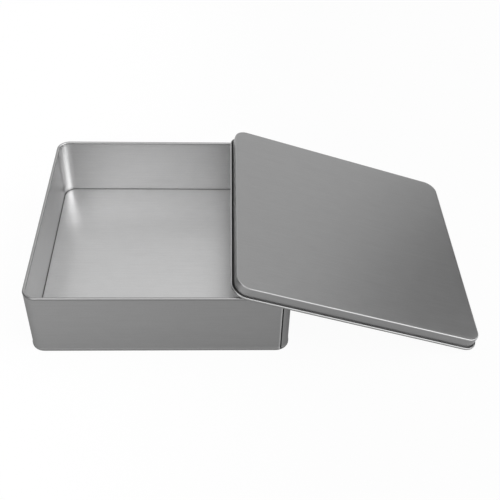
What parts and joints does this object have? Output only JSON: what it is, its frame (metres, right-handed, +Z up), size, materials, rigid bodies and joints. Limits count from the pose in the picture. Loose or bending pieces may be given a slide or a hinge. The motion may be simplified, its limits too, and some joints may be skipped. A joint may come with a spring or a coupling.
{
  "type": "square tin box",
  "caption": "Square tinplate box with rounded corners, a rolled rim and a seamed base, open, with its shallow lift-off lid leaning over one side.",
  "frame": {"origin": "middle of the box's underside, on the plane of the hem it stands on", "axes": "+Z up, +Y to the back, +X to the wall that the lid leans over"},
  "size_m": [0.4142, 0.2432, 0.0829],
  "materials": {
    "wall_tinplate": "satin",
    "floor_tinplate": "satin",
    "lid_tinplate": "satin"
  },
  "bodies": {
    "root": {"body_wall": "wall_tinplate", "base_panel": "floor_tinplate", "lid": "lid_tinplate"}
  },
  "joints": []
}
